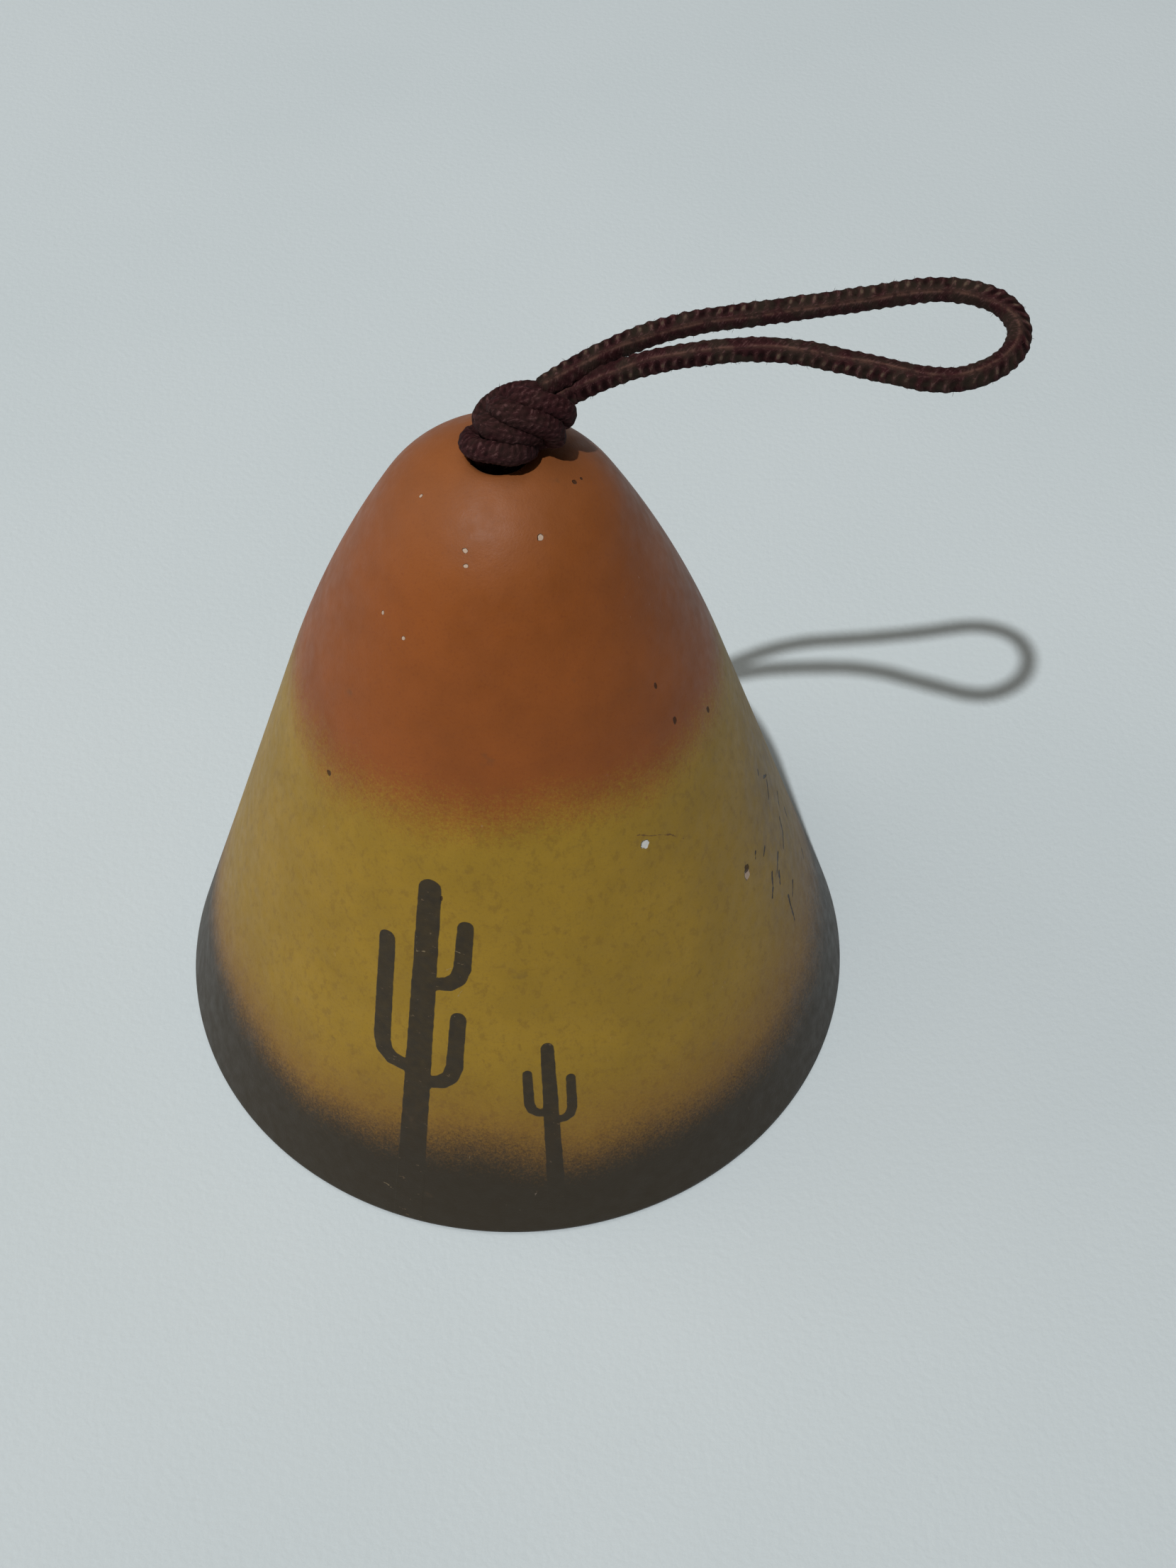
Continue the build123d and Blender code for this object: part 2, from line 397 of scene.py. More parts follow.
def make_cords():
    pieces = []
    loop_line = spline_points(LOOP_ROUTE)
    loop = braid("loop_braid", "loop", "hanging_loop", [tuck_in(loop_line)], 1, loop_facing,
                 hairs=420)
    pieces.append(loop)

    crown_routes = (LOW_TURNS, FRONT_TURNS, BACK_STRAND, THROAT_LEFT, THROAT_RIGHT)
    crown = settle([spline_points(r) for r in crown_routes]) + [spline_points(KNOT_CORE)]
    pieces.append(braid("crown_knot_braid", "knots", "crown_knot", crown, 11, plait=0.3, hairs=40))
    lock = [spline_points(r) for r in stopper_knot(100.0)]
    pieces.append(braid("lock_knot_braid", "knots", "lock_knot", lock, 21, plait=0.5))
    end = [spline_points(r) for r in stopper_knot(20.1)]
    end_knot = braid("end_knot_braid", "clapper_line", "clapper_end_knot", end, 31, plait=0.5)
    pieces.append(end_knot)
    for name, side, seed in (("left", -1, 41), ("right", 1, 46)):
        neck = [spline_points(straight(side, 106.45, 113.35, (1, 0)))]
        pieces.append(braid(f"neck_{name}_braid", "neck_cord", f"neck_strand_{name}", neck, seed,
                            (0.2, -1, 0)))
        down = spline_points(straight(side, 26.55, 95.15, (0, 1))[::-1])
        cord = braid(f"clapper_cord_{name}_braid", "clapper_line", f"clapper_cord_{name}", [down],
                     seed + 1, (1, 0.2 * side, 0))
        pieces.append(cord)
        tail = [spline_points([(side * x, side * y, z) for x, y, z in TAIL_ROUTE])]
        pieces.append(braid(f"tail_{name}_braid", "clapper_line", f"cord_tail_{name}", tail,
                            seed + 2, (0.3, 1, 0.2)))
    return pieces


CORD_PIECES = make_cords()


# --- node helpers ---------------------------------------------------------------------------
class Nodes:
    """Short ways to add nodes to one tree; every method returns an output socket."""

    def __init__(self, tree):
        self.tree = tree

    def add(self, kind, inputs=(), **settings):
        node = self.tree.nodes.new(kind)
        for key, value in settings.items():
            setattr(node, key, value)
        for key, value in dict(inputs).items():
            self.put(node.inputs[key], value)
        return node

    def put(self, socket, value):
        if isinstance(value, bpy.types.NodeSocket):
            self.tree.links.new(value, socket)
        else:
            socket.default_value = value

    def math(self, operation, a, b=0.0, clamp=False):
        node = self.add("ShaderNodeMath", operation=operation, use_clamp=clamp)
        for socket, value in zip(node.inputs, (a, b)):
            self.put(socket, value)
        return node.outputs[0]

    def plus(self, a, b):
        return self.math("ADD", a, b)

    def minus(self, a, b):
        return self.math("SUBTRACT", a, b)

    def times(self, a, b):
        return self.math("MULTIPLY", a, b)

    def over(self, a, b):
        return self.math("DIVIDE", a, b)

    def least(self, a, b):
        return self.math("MINIMUM", a, b)

    def most(self, a, b):
        return self.math("MAXIMUM", a, b)

    def vector(self, operation, a, b=(0, 0, 0), scale=1.0):
        node = self.add("ShaderNodeVectorMath", operation=operation)
        self.put(node.inputs[0], a)
        if operation == "SCALE":
            self.put(node.inputs["Scale"], scale)
        elif operation != "LENGTH":
            self.put(node.inputs[1], b)
        return node.outputs["Value" if operation in ("LENGTH", "DOT_PRODUCT") else "Vector"]

    def combine(self, x, y, z=0.0):
        return self.add("ShaderNodeCombineXYZ", {"X": x, "Y": y, "Z": z}).outputs[0]

    def step(self, value, low, high):
        """Smoothly 0 to 1 as value goes from low to high; low may be the larger."""
        node = self.add("ShaderNodeMapRange", interpolation_type="SMOOTHSTEP")
        for key, number in (("Value", value), ("From Min", low), ("From Max", high)):
            self.put(node.inputs[key], number)
        return node.outputs[0]

    def remap(self, value, low, high, to_low, to_high):
        node = self.add("ShaderNodeMapRange")
        pairs = (("Value", value), ("From Min", low), ("From Max", high),
                 ("To Min", to_low), ("To Max", to_high))
        for key, number in pairs:
            self.put(node.inputs[key], number)
        return node.outputs[0]

    def noise(self, vector, scale, detail=2.0, roughness=0.5, output="Fac"):
        node = self.add("ShaderNodeTexNoise", {"Vector": vector, "Scale": scale, "Detail": detail,
                                               "Roughness": roughness})
        return node.outputs[output]

    def cells(self, vector, scale, output="Distance"):
        return self.add("ShaderNodeTexVoronoi", {"Vector": vector, "Scale": scale}).outputs[output]

    def mix(self, factor, a, b):
        node = self.add("ShaderNodeMix", data_type="RGBA")
        self.put(node.inputs[0], factor)
        for socket, value in ((node.inputs[6], a), (node.inputs[7], b)):
            self.put(socket, value if isinstance(value, bpy.types.NodeSocket) else (*value, 1.0))
        return node.outputs[2]

    def object_coords(self):
        return self.add("ShaderNodeTexCoord").outputs["Object"]


def shaded(colour, share):
    """That colour, lighter or darker by that share."""
    return tuple(c * share for c in colour)


def new_material(name):
    material = bpy.data.materials.new(name)
    material.use_nodes = True
    tree = material.node_tree
    return material, Nodes(tree), tree.nodes["Principled BSDF"]


def use_bump(nodes, shader, height, distance):
    bump = nodes.add("ShaderNodeBump", {"Height": height, "Strength": 1.0, "Distance": distance})
    nodes.put(shader.inputs["Normal"], bump.outputs[0])


# --- painted ceramic ------------------------------------------------------------------------
CLAY = (0.60, 0.44, 0.33)
MUSTARD = (0.352, 0.208, 0.0165)
MUSTARD_MOTTLE = (0.23, 0.125, 0.014)
MUSTARD_SPECK = (0.22, 0.12, 0.018)
ORANGE = (0.282, 0.077, 0.0125)
ORANGE_SPECK = (0.16, 0.035, 0.01)
ORANGE_PALE_TOP = (0.30, 0.15, 0.075)
RUST = (0.17, 0.066, 0.020)
CHARCOAL = (0.0355, 0.025, 0.013)
WORN_CHARCOAL = (0.20, 0.13, 0.07)
BROWN_STAIN = (0.135, 0.085, 0.05)
SMUDGE = (0.10, 0.06, 0.03)
WHITE_GLAZE = (0.78, 0.76, 0.72)
PIT = (0.045, 0.018, 0.006)
CRACK = (0.030, 0.013, 0.006)
SCRATCH = (0.36, 0.27, 0.15)
HAIR_CRACK = (0.12, 0.05, 0.02)
OVERSPRAY = (0.10, 0.06, 0.035)

# Heights in millimetres between which each band fades in, and what breaks up its edge.
ORANGE_FADE = (69.0, 80.0)
RUST_FADE = (36.0, 12.0)
DARK_FADE = (22.0, 11.0)
PALE_TOP_FADE = (104.0, 118.0)
EDGE_WANDER = 16.0
SPRAY_REACH = 20.0
EDGE_LEAN = 0.03                     # the dark bands stand higher towards the right
OVERSPRAY_FADE = (22.0, 2.0)
# The brown stain on the right: its turn in degrees, height, and half height.
STAIN_TURN, STAIN_MIDDLE, STAIN_TALL = 84.0, 42.0, 24.0
STAIN_NARROW = 2.3                   # divides its width

# Two plain cacti of the builder's own drawing: upright bars with round ends and bent arms. Each
# stroke is a row of (across, height, half width) in millimetres; across is measured round the bell
# from the cactus's own upright line.
TALL_CACTUS_AT = math.radians(-17.0)
TALL_CACTUS = {
    "trunk": [(0.0, 62.5, 1.7), (0.0, 1.0, 2.3)],
    "left_arm": [(-6.0, 52.0, 1.3), (-6.0, 34.0, 1.4), (-5.5, 32.2, 1.4), (-4.2, 31.0, 1.35),
                 (-2.0, 30.5, 1.2)],
    "high_arm": [(5.5, 57.0, 1.2), (5.5, 50.0, 1.3), (5.0, 48.2, 1.3), (3.7, 47.0, 1.25),
                 (1.5, 46.5, 1.1)],
    "low_arm": [(5.5, 41.0, 1.2), (5.5, 32.0, 1.3), (5.0, 30.2, 1.3), (3.7, 29.0, 1.25),
                (1.5, 28.5, 1.1)],
}
SMALL_CACTUS_AT = math.radians(8.0)
SMALL_CACTUS = {
    "trunk": [(0.0, 36.0, 1.0), (0.0, 1.0, 1.5)],
    "left_arm": [(-3.2, 31.5, 0.75), (-3.2, 26.0, 0.8), (-2.8, 24.8, 0.8), (-2.0, 24.2, 0.75),
                 (-0.8, 24.0, 0.7)],
    "right_arm": [(3.2, 30.0, 0.75), (3.2, 24.5, 0.8), (2.8, 23.3, 0.8), (2.0, 22.7, 0.75),
                  (0.8, 22.5, 0.7)],
}
# Chips through the paint: (turn from the front in degrees, height, half width, half height).
PALE_CHIPS = [
    (26.2, 109.8, 0.42, 0.28), (-17.7, 109.0, 0.34, 0.22), (-15.6, 107.6, 0.34, 0.20),
    (-36.5, 96.7, 0.26, 0.24), (-48.6, 97.9, 0.20, 0.26), (-63.7, 110.9, 0.22, 0.16),
    (62.8, 45.6, 0.75, 0.85), (152.0, 62.0, 0.5, 0.7), (-128.0, 38.0, 0.4, 0.4),
    (118.0, 91.0, 0.35, 0.5), (-154.0, 84.0, 0.25, 0.3),
]
WHITE_CHIP = (36.1, 65.2, 0.62, 0.68)
DARK_PITS = [
    (73.5, 111.5, 0.32, 0.18), (80.4, 111.1, 0.20, 0.12), (53.3, 85.7, 0.25, 0.45),
    (55.6, 79.2, 0.35, 0.50), (70.1, 74.5, 0.35, 0.50), (63.4, 46.5, 0.62, 0.60),
    (-50.6, 71.9, 0.38, 0.42), (-14.1, 61.4, 0.18, 0.35), (-137.0, 70.0, 0.3, 0.4),
    (170.0, 33.0, 0.3, 0.5),
]
# Upright cracks on the right: (turn and height of the upper end, turn and height of the lower end).
CRACKS = [
    (83.3, 53.0, 82.7, 52.4), (85.0, 49.9, 87.5, 48.5), (86.3, 48.0, 83.1, 46.6),
    (90.4, 41.5, 87.4, 40.6), (90.8, 36.9, 90.1, 35.2), (84.9, 40.2, 83.5, 38.2),
    (83.5, 38.2, 80.6, 36.9), (72.5, 44.2, 70.8, 43.6), (68.2, 46.4, 67.5, 45.6),
    (77.1, 38.9, 73.5, 37.3), (71.7, 39.0, 69.9, 36.9), (69.9, 36.9, 68.6, 36.0),
    (74.5, 36.7, 73.2, 35.1), (74.6, 30.9, 73.6, 26.0), (91.0, 25.6, 89.6, 24.6),
    (78.8, 30.4, 76.2, 29.2),
]
# Pale scratches on and near the tall cactus, with their ends given the same way.
SCRATCHES = [
    (-10.6, 53.0, -7.9, 52.5), (-12.3, 49.4, -11.2, 49.9), (-9.6, 45.1, -8.7, 46.3),
    (-19.6, 54.3, -18.9, 51.5), (-18.8, 51.5, -15.4, 52.0), (-11.3, 41.6, -10.3, 41.5),
    (-21.6, 6.4, -20.7, 6.2), (-20.3, 5.9, -18.6, 5.4), (-6.7, 15.6, -6.8, 13.8),
    (0.2, 30.6, 1.3, 30.5),
]
# One hair-thin line, given the same way.
HAIR_LINE = [(34.6, 67.3, 43.3, 64.2), (43.3, 64.2, 47.0, 61.8)]


def capsule_group():
    """Distance from a point to a tapered stroke piece between two ends, negative inside."""
    group = bpy.data.node_groups.new("stroke_piece", "ShaderNodeTree")
    for name in ("Point", "Start", "End"):
        group.interface.new_socket(name, in_out="INPUT", socket_type="NodeSocketVector")
    for name in ("Start Width", "End Width"):
        group.interface.new_socket(name, in_out="INPUT", socket_type="NodeSocketFloat")
    group.interface.new_socket("Distance", in_out="OUTPUT", socket_type="NodeSocketFloat")
    n = Nodes(group)
    start = n.add("NodeGroupInput").outputs
    to_point = n.vector("SUBTRACT", start["Point"], start["Start"])
    run = n.vector("SUBTRACT", start["End"], start["Start"])
    dots = n.over(n.vector("DOT_PRODUCT", to_point, run), n.vector("DOT_PRODUCT", run, run))
    along = n.least(n.most(dots, 0.0), 1.0)
    foot = n.vector("SCALE", run, scale=along)
    away = n.vector("LENGTH", n.vector("SUBTRACT", to_point, foot))
    width = n.remap(along, 0.0, 1.0, start["Start Width"], start["End Width"])
    n.put(n.add("NodeGroupOutput").inputs["Distance"], n.minus(away, width))
    return group


# --- shell ----------------------------------------------------------------------------------
CONE_HEIGHT = 69.0
WALL = 4.0
FOOT_ROUND = 0.8
HOLE_RADIUS = 3.75
HOLE_ROUND = 0.8
CACTUS_ARC = (-30.0, 17.0)           # the turns in degrees between which the cacti lie
FINE_SIDES, PLAIN_SIDES = 130, 200   # points round the bell in that arc, and in the rest
OUTER_STEP, SKIRT_STEP, INNER_STEP = 0.9, 0.5, 2.4
BLANK = 9.0                          # the distance given where no cactus is near


def arc(centre, radius, start, end, step):
    count = max(2, int(abs(radius * (end - start)) / step))
    return [(centre[0] + radius * math.cos(a), centre[1] + radius * math.sin(a))
            for a in np.linspace(start, end, count + 1)]


def wall_line(inset, step, skirt_step):
    """The wall's line moved inwards by inset, from the floor to the hole: cone, shoulder, crown."""
    top = (CAD_MOUTH - CONE_HEIGHT * math.tan(CONE), CONE_HEIGHT)
    crown = (0.0, CROWN_CENTRE[2])
    across, up = top[0] - crown[0], top[1] - crown[1]
    along = across * math.cos(CONE) + up * math.sin(CONE)
    shoulder = (across ** 2 + up ** 2 - CROWN_RADIUS ** 2) / (2 * (along - CROWN_RADIUS))
    middle = (top[0] - shoulder * math.cos(CONE), top[1] - shoulder * math.sin(CONE))
    join = math.atan2(crown[1] - middle[1], crown[0] - middle[0])
    inner_crown = CROWN_RADIUS - inset
    lip = math.acos(HOLE_RADIUS / inner_crown)
    bend = arc(middle, shoulder - inset, CONE, join, step)
    dome = arc(crown, inner_crown, join, lip, step)
    foot = np.array((CAD_MOUTH - inset / math.cos(CONE), 0.0))
    count = int(np.linalg.norm(foot - bend[0]) / skirt_step)
    skirt = [tuple(foot + (np.array(bend[0]) - foot) * t) for t in np.linspace(0, 1, count + 1)]
    return skirt + bend[1:] + dome[1:]


def rounded(before, corner, after, radius):
    """Points of a round of that radius at a corner, between the points before and after it."""
    before, corner, after = (np.array(p, float) for p in (before, corner, after))
    one, two = unit(before - corner), unit(after - corner)
    half = math.acos(float(np.dot(one, two))) / 2
    reach = radius / math.tan(half)
    centre = corner + unit(one + two) * radius / math.sin(half)
    points = []
    for t in np.linspace(0, 1, 9):
        way = unit((corner + one * reach - centre) * (1 - t) + (corner + two * reach - centre) * t)
        points.append(tuple(centre + way * radius))
    return points, reach


def shell_profile():
    outer = wall_line(0.0, OUTER_STEP, SKIRT_STEP)
    inner = wall_line(WALL, INNER_STEP, INNER_STEP)[::-1]
    rounds = [rounded(outer[-2], outer[-1], inner[0], HOLE_ROUND),
              rounded(outer[-1], inner[0], inner[1], HOLE_ROUND),
              rounded(inner[-2], inner[-1], outer[0], FOOT_ROUND),
              rounded(inner[-1], outer[0], outer[1], FOOT_ROUND)]

    def clear(line, start, end):
        """The line's points further than those two distances from its ends."""
        points = np.array(line)
        from_start = np.linalg.norm(points - points[0], axis=1)
        from_end = np.linalg.norm(points - points[-1], axis=1)
        return [tuple(p) for p in points[(from_start > start) & (from_end > end)]]

    outside = clear(outer, rounds[3][1] + 0.2, rounds[0][1] + 0.2)
    inside = clear(inner, rounds[1][1] + 0.3, rounds[2][1] + 0.3)
    return outside + rounds[0][0] + rounds[1][0] + inside + rounds[2][0] + rounds[3][0]


def stroke_distance(across, up_slope, strokes):
    """Distance in millimetres from points to a cactus's edge, negative inside its strokes."""
    nearest = np.full(across.shape, BLANK)
    for rows in strokes.values():
        for (xa, za, wa), (xb, zb, wb) in zip(rows, rows[1:]):
            start = np.array((xa, za / math.cos(CONE)))
            run = np.array((xb, zb / math.cos(CONE))) - start
            along = ((across - start[0]) * run[0] + (up_slope - start[1]) * run[1]) / (run @ run)
            along = np.clip(along, 0, 1)
            away = np.hypot(across - start[0] - along * run[0],
                            up_slope - start[1] - along * run[1])
            nearest = np.minimum(nearest, away - (wa + (wb - wa) * along))
    return nearest


def make_shell():
    profile = np.array(shell_profile())
    start, end = (math.radians(degrees) for degrees in CACTUS_ARC)
    fine = np.linspace(start, end, FINE_SIDES, endpoint=False)
    plain = np.linspace(end, start + 2 * math.pi, PLAIN_SIDES, endpoint=False)
    turn = (np.concatenate([fine, plain])[None] + math.pi) % (2 * math.pi) - math.pi
    sides = turn.shape[1]
    radius, height = profile[:, 0:1], profile[:, 1:2]
    # A hand-finished slip cast is a little out of round.
    swell = 0.05 * np.sin(2 * turn + 0.6 + height / 40) + 0.03 * np.sin(3 * turn - height / 23) - 0.08
    swell = swell * np.clip((height - 3) / 20, 0, 1) * np.clip((radius - 6) / 8, 0, 1)
    reach = radius + swell
    level = height + 0 * turn
    spots = np.stack([reach * np.sin(turn), -reach * np.cos(turn), level], axis=-1).reshape(-1, 3)
    ink = np.full((len(profile), sides), BLANK)
    for angle, strokes in ((TALL_CACTUS_AT, TALL_CACTUS), (SMALL_CACTUS_AT, SMALL_CACTUS)):
        across = (turn - angle) * radius
        up_slope = height / math.cos(CONE) + 0 * turn
        ink = np.minimum(ink, stroke_distance(across, up_slope, strokes))
    i, j = np.meshgrid(np.arange(len(profile)), np.arange(sides), indexing="ij")
    k, l = (i + 1) % len(profile), (j + 1) % sides
    faces = np.stack([i * sides + j, i * sides + l, k * sides + l, k * sides + j], axis=-1)
    mesh = bpy.data.meshes.new("shell_body")
    mesh.from_pydata((spots * MM).tolist(), [], faces.reshape(-1, 4).tolist())
    values = ink.astype(np.float32).ravel()
    mesh.attributes.new("ink", "FLOAT", "POINT").data.foreach_set("value", values)
    mesh.polygons.foreach_set("use_smooth", [True] * len(mesh.polygons))
    shell = add_object("shell_body", mesh)
    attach(shell, "shell")
    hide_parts("bell_shell")
    return shell


def painted_ceramic():
    material, n, shader = new_material("painted_ceramic")
    place = n.object_coords()
    split = n.add("ShaderNodeSeparateXYZ", {"Vector": n.vector("SCALE", place, scale=1 / MM)}).outputs
    x, y, z = split["X"], split["Y"], split["Z"]
    radius = n.math("SQRT", n.plus(n.times(x, x), n.times(y, y)))
    turn = n.math("ARCTAN2", x, n.times(y, -1.0))
    up_slope = n.times(z, 1 / math.cos(CONE))

    # Airbrushed bands: soft edges that wander and break up into droplets.
    wander = n.noise(place, 28, 2.0)
    droplets = n.noise(place, 2300, 3.0, 0.7)
    fine_drops = n.noise(place, 5000, 2.0, 0.6)
    grain = n.plus(n.times(droplets, 0.6), n.times(fine_drops, 0.4))
    edge = n.plus(z, n.times(n.minus(wander, 0.5), EDGE_WANDER))
    spray = n.times(n.minus(grain, 0.5), SPRAY_REACH)
    sprayed = n.plus(edge, spray)
    orange_part = n.step(sprayed, *ORANGE_FADE)
    low_edge = n.minus(sprayed, n.times(x, EDGE_LEAN))
    rust_part = n.step(low_edge, *RUST_FADE)
    dark_part = n.step(low_edge, *DARK_FADE)

    blotch = n.noise(place, 90, 4.0, 0.6)
    speck = n.noise(place, 2600, 3.0, 0.6)
    mustard = n.mix(n.step(blotch, 0.3, 0.7), shaded(MUSTARD, 0.92), shaded(MUSTARD, 1.06))
    mottle = n.noise(n.vector("MULTIPLY", place, (1.0, 1.0, 0.7)), 750, 3.0, 0.7)
    mustard = n.mix(n.times(n.step(mottle, 0.50, 0.68), 0.45), mustard, MUSTARD_MOTTLE)
    mustard = n.mix(n.times(n.step(speck, 0.52, 0.72), 0.35), mustard, MUSTARD_SPECK)
    orange = n.mix(n.step(blotch, 0.3, 0.7), shaded(ORANGE, 0.9), shaded(ORANGE, 1.08))
    orange = n.mix(n.times(n.step(speck, 0.5, 0.75), 0.25), orange, ORANGE_SPECK)
    # The orange turns paler and greyer towards the top of the crown.
    paler_top = n.times(n.step(n.plus(z, n.times(blotch, 6.0)), *PALE_TOP_FADE), 0.2)
    orange = n.mix(paler_top, orange, ORANGE_PALE_TOP)
    paint = n.mix(orange_part, mustard, orange)
    paint = n.mix(n.times(rust_part, 0.75), paint, RUST)
    paint = n.mix(dark_part, paint, CHARCOAL)

    # The two cacti, from the distances that the mesh carries, with an uneven edge.
    group = capsule_group()
    wobble = n.vector("SUBTRACT", n.noise(place, 420, 2.0, output="Color"), (0.5, 0.5, 0.5))
    wobble = n.vector("SCALE", wobble, scale=0.45)
    rough_edge = n.times(n.minus(n.noise(place, 700, 2.0), 0.5), 0.25)
    ink_distance = n.add("ShaderNodeAttribute", attribute_name="ink").outputs["Fac"]
    inked = n.plus(ink_distance, rough_edge)
    normal = n.add("ShaderNodeNewGeometry").outputs["Normal"]
    facing = n.add("ShaderNodeSeparateXYZ", {"Vector": normal}).outputs
    outwards = n.plus(n.times(facing["X"], x), n.times(facing["Y"], y))
    outwards = n.over(outwards, n.most(radius, 0.1))
    outside = n.step(n.plus(outwards, facing["Z"]), -0.4, 0.2)
    outside = n.most(outside, n.step(z, 108.5, 110.0))
    ink = n.times(n.step(inked, 0.07, -0.07), n.math("GREATER_THAN", outside, 0.5))
    thin_ink = n.remap(n.noise(place, 700, 3.0), 0.3, 0.8, 1.0, 0.93)
    paint = n.mix(n.times(ink, thin_ink), paint, CHARCOAL)

    worn_ink = n.noise(n.vector("MULTIPLY", place, (1.0, 1.0, 2.2)), 640, 3.0, 0.7)
    worn_ink = n.step(worn_ink, 0.665, 0.70)
    paint = n.mix(n.times(n.times(worn_ink, ink), 0.5), paint, WORN_CHARCOAL)

    # The right side has gone brown round its cracks.
    sideways = n.times(n.minus(turn, math.radians(STAIN_TURN)), STAIN_NARROW)
    upwards = n.over(n.minus(z, STAIN_MIDDLE), STAIN_TALL)
    near = n.vector("LENGTH", n.combine(sideways, upwards))
    cloudy = n.remap(n.noise(place, 420, 4.0, 0.7), 0.35, 0.65, 0.15, 0.55)
    stain = n.times(n.step(near, 1.1, 0.2), cloudy)
    paint = n.mix(n.times(stain, n.minus(1.0, dark_part)), paint, BROWN_STAIN)

    # Dust and handling: pale scuffs in small patches, and dark fingered smudges.
    streaks = n.noise(n.vector("MULTIPLY", place, (1.0, 1.0, 0.25)), 900, 3.0, 0.7)
    patches = n.step(n.noise(place, 60, 2.0), 0.60, 0.72)
    scuff = n.times(n.step(streaks, 0.66, 0.74), patches)
    paint = n.mix(n.times(scuff, 0.35), paint, CLAY)
    smudge = n.step(n.noise(place, 210, 3.0, 0.65), 0.66, 0.80)
    paint = n.mix(n.times(smudge, 0.35), paint, SMUDGE)

    # Chips and pits.
    ragged = n.times(n.minus(n.noise(place, 1700, 2.0), 0.5), 1.1)

    def spots(rows):
        """Where ragged ovals lie, from rows of turn, height, half width and half height."""
        deepest = None
        for degrees, height, half_width, half_height in rows:
            along = n.times(n.minus(turn, math.radians(degrees)), radius)
            dx = n.over(along, half_width)
            dz = n.over(n.minus(z, height), half_height)
            away = n.vector("LENGTH", n.combine(dx, dz))
            deepest = away if deepest is None else n.least(deepest, away)
        return n.step(n.plus(deepest, ragged), 1.15, 0.85)

    chips = spots(PALE_CHIPS)
    white = spots([WHITE_CHIP])
    pits = spots(DARK_PITS)
    clay = n.mix(n.noise(place, 2500, 2.0), shaded(CLAY, 0.8), CLAY)
    paint = n.mix(chips, paint, clay)
    paint = n.mix(white, paint, WHITE_GLAZE)
    paint = n.mix(n.times(pits, 0.85), paint, PIT)

    # Upright cracks on the right side, pale scratches, and one hair-thin line.
    def lines(rows, middle, half_width):
        """Where thin lines lie; rows give turn and height of both ends, near the turn middle."""
        around = n.times(n.minus(turn, math.radians(middle)), radius)
        point = n.vector("ADD", n.combine(around, up_slope), wobble)
        nearest = None
        for turn_a, height_a, turn_b, height_b in rows:
            ends = [(math.radians(t - middle) * (CAD_MOUTH - h * math.tan(CONE)),
                     h / math.cos(CONE), 0) for t, h in ((turn_a, height_a), (turn_b, height_b))]
            piece = n.add("ShaderNodeGroup", {}, node_tree=group)
            for key, value in (("Point", point), ("Start", ends[0]), ("Start Width", half_width),
                               ("End", ends[1]), ("End Width", half_width * 0.4)):
                n.put(piece.inputs[key], value)
            found = piece.outputs[0]
            nearest = found if nearest is None else n.least(nearest, found)
        return n.step(n.plus(nearest, uneven), 0.07, -0.03)

    uneven = n.times(n.minus(n.noise(place, 1300, 2.0, 0.6), 0.5), 0.6)
    cracks = lines(CRACKS, 78.0, 0.27)
    paint = n.mix(cracks, paint, CRACK)
    paint = n.mix(n.times(lines(SCRATCHES, -14.0, 0.02), 0.5), paint, SCRATCH)
    paint = n.mix(n.times(lines(HAIR_LINE, 40.0, 0.04), 0.8), paint, HAIR_CRACK)

    # Inside, bare clay with overspray drifting up from the mouth.
    overspray = n.times(n.step(n.plus(z, spray), *OVERSPRAY_FADE), 0.8)
    bare = n.mix(n.noise(place, 160, 4.0), shaded(CLAY, 0.82), CLAY)
    bare = n.mix(overspray, bare, OVERSPRAY)
    n.put(shader.inputs["Base Color"], n.mix(outside, bare, paint))

    sheen_of = n.remap(n.noise(place, 500, 3.0), 0.3, 0.7, 0.46, 0.60)
    rough = n.math("ADD", sheen_of, n.times(n.most(chips, pits), 0.3), clamp=True)
    n.put(shader.inputs["Roughness"], rough)
    shader.inputs["Sheen Weight"].default_value = 0.03
    shader.inputs["Sheen Roughness"].default_value = 0.45
    shader.inputs["Specular IOR Level"].default_value = 0.28
    fine = n.noise(place, 3000, 3.0, 0.65)
    wide = n.noise(place, 260, 2.0)
    height = n.plus(n.times(fine, 0.04), n.times(wide, 0.12))
    height = n.plus(height, n.times(ink, 0.03))
    for lowered, depth in ((chips, 0.25), (white, 0.25), (pits, 0.4), (cracks, 0.25)):
        height = n.minus(height, n.times(lowered, depth))
    use_bump(n, shader, height, MM)
    return material


# --- cord and clapper -----------------------------------------------------------------------
YARN_GROOVE_SHADE = (0.009, 0.0022, 0.0026)
YARN_TOP = (0.042, 0.0125, 0.0140)
YARN_OLIVE = (0.034, 0.028, 0.019)
YARN_LIT = (0.140, 0.070, 0.068)
YARN_STITCH_HIGHLIGHT = (0.120, 0.084, 0.058)
YARN_EDGE_HIGHLIGHT = (0.115, 0.058, 0.044)
LINT = (0.24, 0.16, 0.12)
SHEEN_TINT = (0.70, 0.45, 0.40, 1.0)
CLAY_DEEP = (0.50, 0.345, 0.25)
CLAY_GROG = (0.26, 0.15, 0.095)
CLAY_FLECK = (0.72, 0.60, 0.49)
CLAY_RUBBED = (0.19, 0.10, 0.07)


